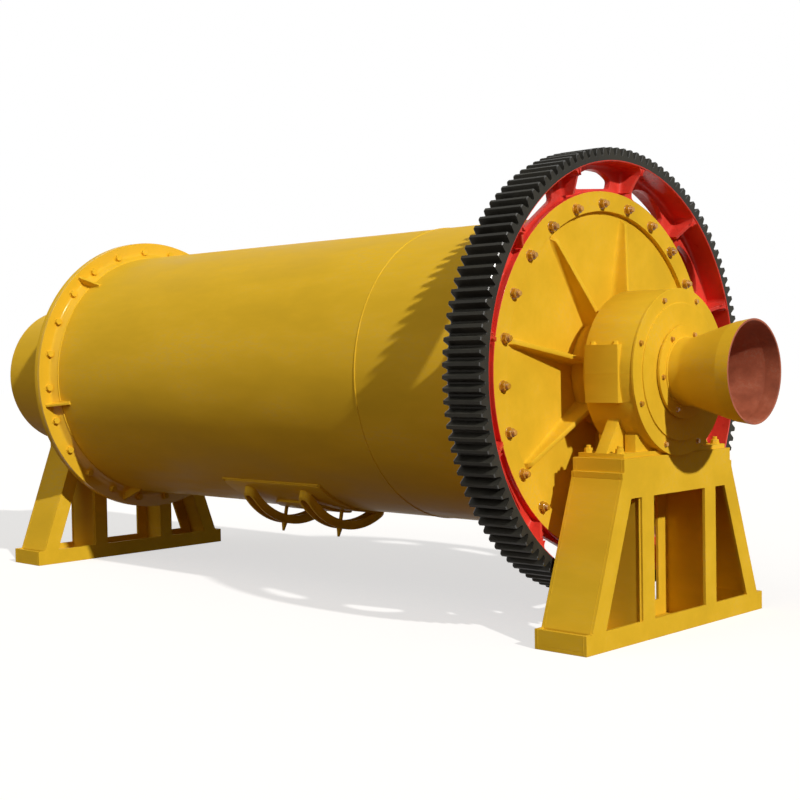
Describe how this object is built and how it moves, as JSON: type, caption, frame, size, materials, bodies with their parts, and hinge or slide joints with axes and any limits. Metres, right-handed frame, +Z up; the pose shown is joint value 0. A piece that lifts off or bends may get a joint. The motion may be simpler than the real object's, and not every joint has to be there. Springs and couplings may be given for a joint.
{
  "type": "ball mill",
  "caption": "Horizontal grinding drum on two pedestal bearings, with a girth gear, bolted ribbed heads, a feed drum and a flared discharge trumpet.",
  "frame": {"origin": "on the floor under the middle of the machine's length, in the drum's upright middle plane", "axes": "+X along the drum towards the girth gear and the discharge end, +Z up"},
  "size_m": [6.658, 2.604, 2.7738],
  "materials": {
    "yellow_paint": "satin enamel paint",
    "gear_black": "dark greased steel casting",
    "gear_red": "red anti-rust paint",
    "journal_steel": "turned and oiled",
    "bush_bronze": "machined bronze"
  },
  "bodies": {
    "stand": {"discharge_bearing_cap": "yellow_paint", "discharge_bearing_base": "yellow_paint", "discharge_bearing_bush": "bush_bronze", "discharge_bearing_cover": "yellow_paint", "discharge_pedestal_inner_plate": "yellow_paint", "discharge_pedestal_outer_plate": "yellow_paint", "discharge_pedestal_base_plate": "yellow_paint", "discharge_pedestal_top_plate": "yellow_paint", "discharge_pedestal_side_plate_left": "yellow_paint", "discharge_pedestal_side_plate_right": "yellow_paint", "discharge_pedestal_post_left": "yellow_paint", "discharge_pedestal_post_right": "yellow_paint", "discharge_pedestal_base_end_left": "yellow_paint", "discharge_pedestal_base_end_right": "yellow_paint", "feed_bearing_cap": "yellow_paint", "feed_bearing_base": "yellow_paint", "feed_bearing_bush": "bush_bronze", "feed_bearing_cover": "yellow_paint", "feed_pedestal_inner_plate": "yellow_paint", "feed_pedestal_outer_plate": "yellow_paint", "feed_pedestal_base_plate": "yellow_paint", "feed_pedestal_top_plate": "yellow_paint", "feed_pedestal_side_plate_left": "yellow_paint", "feed_pedestal_side_plate_right": "yellow_paint", "feed_pedestal_post_left": "yellow_paint", "feed_pedestal_post_right": "yellow_paint", "feed_pedestal_base_end_left": "yellow_paint", "feed_pedestal_base_end_right": "yellow_paint"},
    "drum": {"shell": "yellow_paint", "feed_flange": "yellow_paint", "discharge_flange": "yellow_paint", "discharge_head": "yellow_paint", "discharge_trunnion": "journal_steel", "feed_head": "yellow_paint", "feed_trunnion": "journal_steel", "girth_gear_rim": "gear_black", "girth_gear_web": "gear_red", "manhole_pad": "yellow_paint", "manhole_cover": "yellow_paint", "manhole_clamp_1": "yellow_paint", "manhole_clamp_2": "yellow_paint", "manhole_bolt_1": "yellow_paint", "manhole_bolt_2": "yellow_paint", "discharge_trumpet": "yellow_paint", "feed_drum": "yellow_paint", "feed_drum_cover": "yellow_paint"}
  },
  "joints": [
    {"name": "drum_turn", "type": "hinge", "parent": "stand", "child": "drum", "pos_m": [0, 0, 1.472], "axis": [1, 0, 0], "continuous": true}
  ]
}
